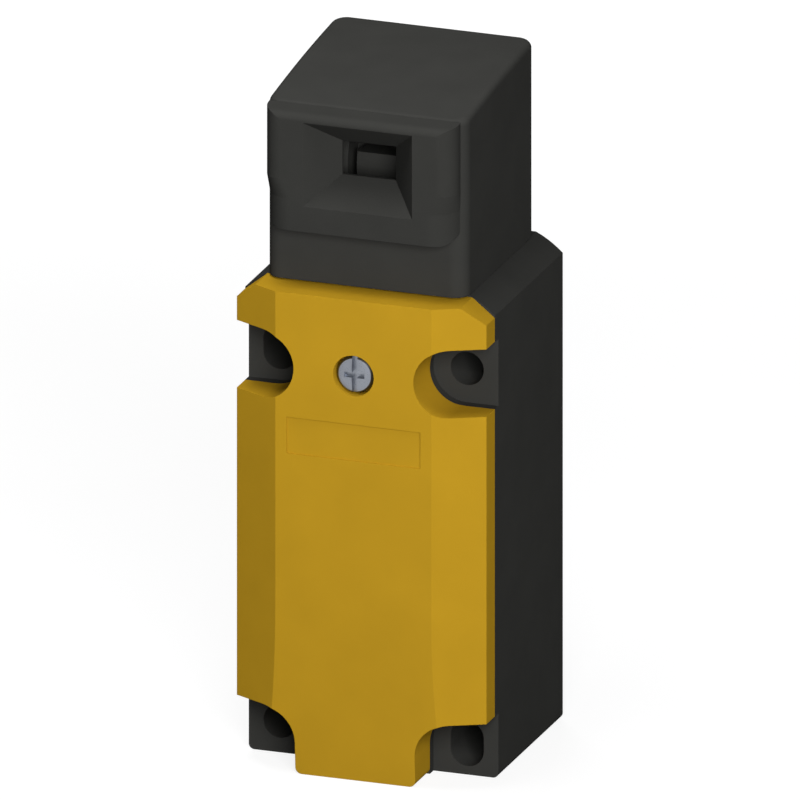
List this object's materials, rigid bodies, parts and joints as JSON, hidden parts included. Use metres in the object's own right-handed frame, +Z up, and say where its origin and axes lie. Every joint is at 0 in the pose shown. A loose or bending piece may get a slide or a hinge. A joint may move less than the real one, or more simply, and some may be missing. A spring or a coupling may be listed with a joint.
{
  "type": "position switch",
  "caption": "Key-operated safety position switch: moulded enclosure with a yellow cover, a turnable head with a key funnel, and a contact block inside.",
  "frame": {"origin": "on the rear mounting face, at the middle of the four fixing points", "axes": "+Z up towards the operating head, +Y out of the rear face, -Y out of the front"},
  "size_m": [0.04, 0.038, 0.1088],
  "materials": {
    "enclosure": "matt black",
    "head": "matt black",
    "bezel": "matt black",
    "cover": "satin yellow",
    "drum": "matt black",
    "plunger": "natural",
    "slider": "red",
    "inner_plastic": "grey",
    "contact_front": "light grey",
    "contact_metal": "plated",
    "brass": "turned",
    "screw_steel": "zinc plated",
    "spring_steel": "drawn wire",
    "seal": "matt"
  },
  "bodies": {
    "enclosure": {"enclosure_body": "enclosure", "cover_insert": "brass", "cover_gasket": "seal", "retaining_ring": "screw_steel", "retaining_ring_screws": "screw_steel", "plunger_diaphragm": "seal", "contact_base": "inner_plastic", "contact_front": "contact_front", "contact_base_screws": "screw_steel", "slider_return_spring": "spring_steel", "earth_plate": "screw_steel", "earth_screw": "screw_steel", "fixed_contacts_lower": "contact_metal", "terminal_washers_lower": "screw_steel", "terminal_screws_lower": "screw_steel", "fixed_contacts_middle": "contact_metal", "terminal_washers_middle": "screw_steel", "terminal_screws_middle": "screw_steel", "fixed_contacts_upper": "contact_metal", "terminal_washers_upper": "screw_steel", "terminal_screws_upper": "screw_steel"},
    "lid": {"cover": "cover"},
    "lid_screw": {"cover_screw": "screw_steel"},
    "head": {"head_housing": "head", "entry_bezel": "bezel", "head_base_plate": "head", "head_base_screws": "screw_steel", "head_seal": "seal", "drum_cradle": "inner_plastic", "drum_axle": "screw_steel", "plunger_spring": "spring_steel"},
    "drum": {"switching_drum": "drum"},
    "push_pin": {"plunger": "plunger"},
    "push_rod": {"slider": "slider", "spring_lower": "spring_steel", "spring_middle": "spring_steel", "spring_upper": "spring_steel"},
    "contact_bridge_lower": {"bridge_lower": "contact_metal"},
    "contact_bridge_middle": {"bridge_middle": "contact_metal"},
    "contact_bridge_upper": {"bridge_upper": "contact_metal"}
  },
  "joints": [
    {"name": "cover_lift", "type": "slide", "parent": "enclosure", "child": "lid", "axis": [0, -1, 0], "range_m": [0, 0.02]},
    {"name": "cover_screw_turn", "type": "hinge", "parent": "lid", "child": "lid_screw", "pos_m": [0, -0.03, 0.03], "axis": [0, -1, 0], "continuous": true},
    {"name": "head_turn", "type": "hinge", "parent": "enclosure", "child": "head", "pos_m": [0, -0.0168, 0.0424], "axis": [0, 0, 1], "range_deg": [-90, 90]},
    {"name": "drum_turn", "type": "hinge", "parent": "head", "child": "drum", "pos_m": [0, -0.0168, 0.059], "axis": [-1, 0, 0], "range_deg": [0, 75]},
    {"name": "plunger_slide", "type": "slide", "parent": "head", "child": "push_pin", "axis": [0, 0, 1], "range_m": [0, 0.003], "deforming": ["plunger_spring"]},
    {"name": "slider_slide", "type": "slide", "parent": "enclosure", "child": "push_rod", "axis": [0, 0, 1], "range_m": [0, 0.003], "deforming": ["slider_return_spring"]},
    {"name": "bridge_lower_slide", "type": "slide", "parent": "push_rod", "child": "contact_bridge_lower", "axis": [0, 0, -1], "range_m": [0, 0.0005], "deforming": ["spring_lower"]},
    {"name": "bridge_middle_slide", "type": "slide", "parent": "push_rod", "child": "contact_bridge_middle", "axis": [0, 0, -1], "range_m": [0, 0.0005], "deforming": ["spring_middle"]},
    {"name": "bridge_upper_slide", "type": "slide", "parent": "push_rod", "child": "contact_bridge_upper", "axis": [0, 0, -1], "range_m": [0, 0.0005], "deforming": ["spring_upper"]}
  ],
  "couplings": [
    {"joint": "drum_turn", "follows": "slider_slide", "rad_per_m": 436.33},
    {"joint": "plunger_slide", "follows": "slider_slide", "ratio": 1},
    {"joint": "bridge_lower_slide", "follows": "slider_slide", "ratio": 0.16666},
    {"joint": "bridge_middle_slide", "follows": "slider_slide", "ratio": 0.16666},
    {"joint": "bridge_upper_slide", "follows": "slider_slide", "ratio": 0.16666}
  ]
}
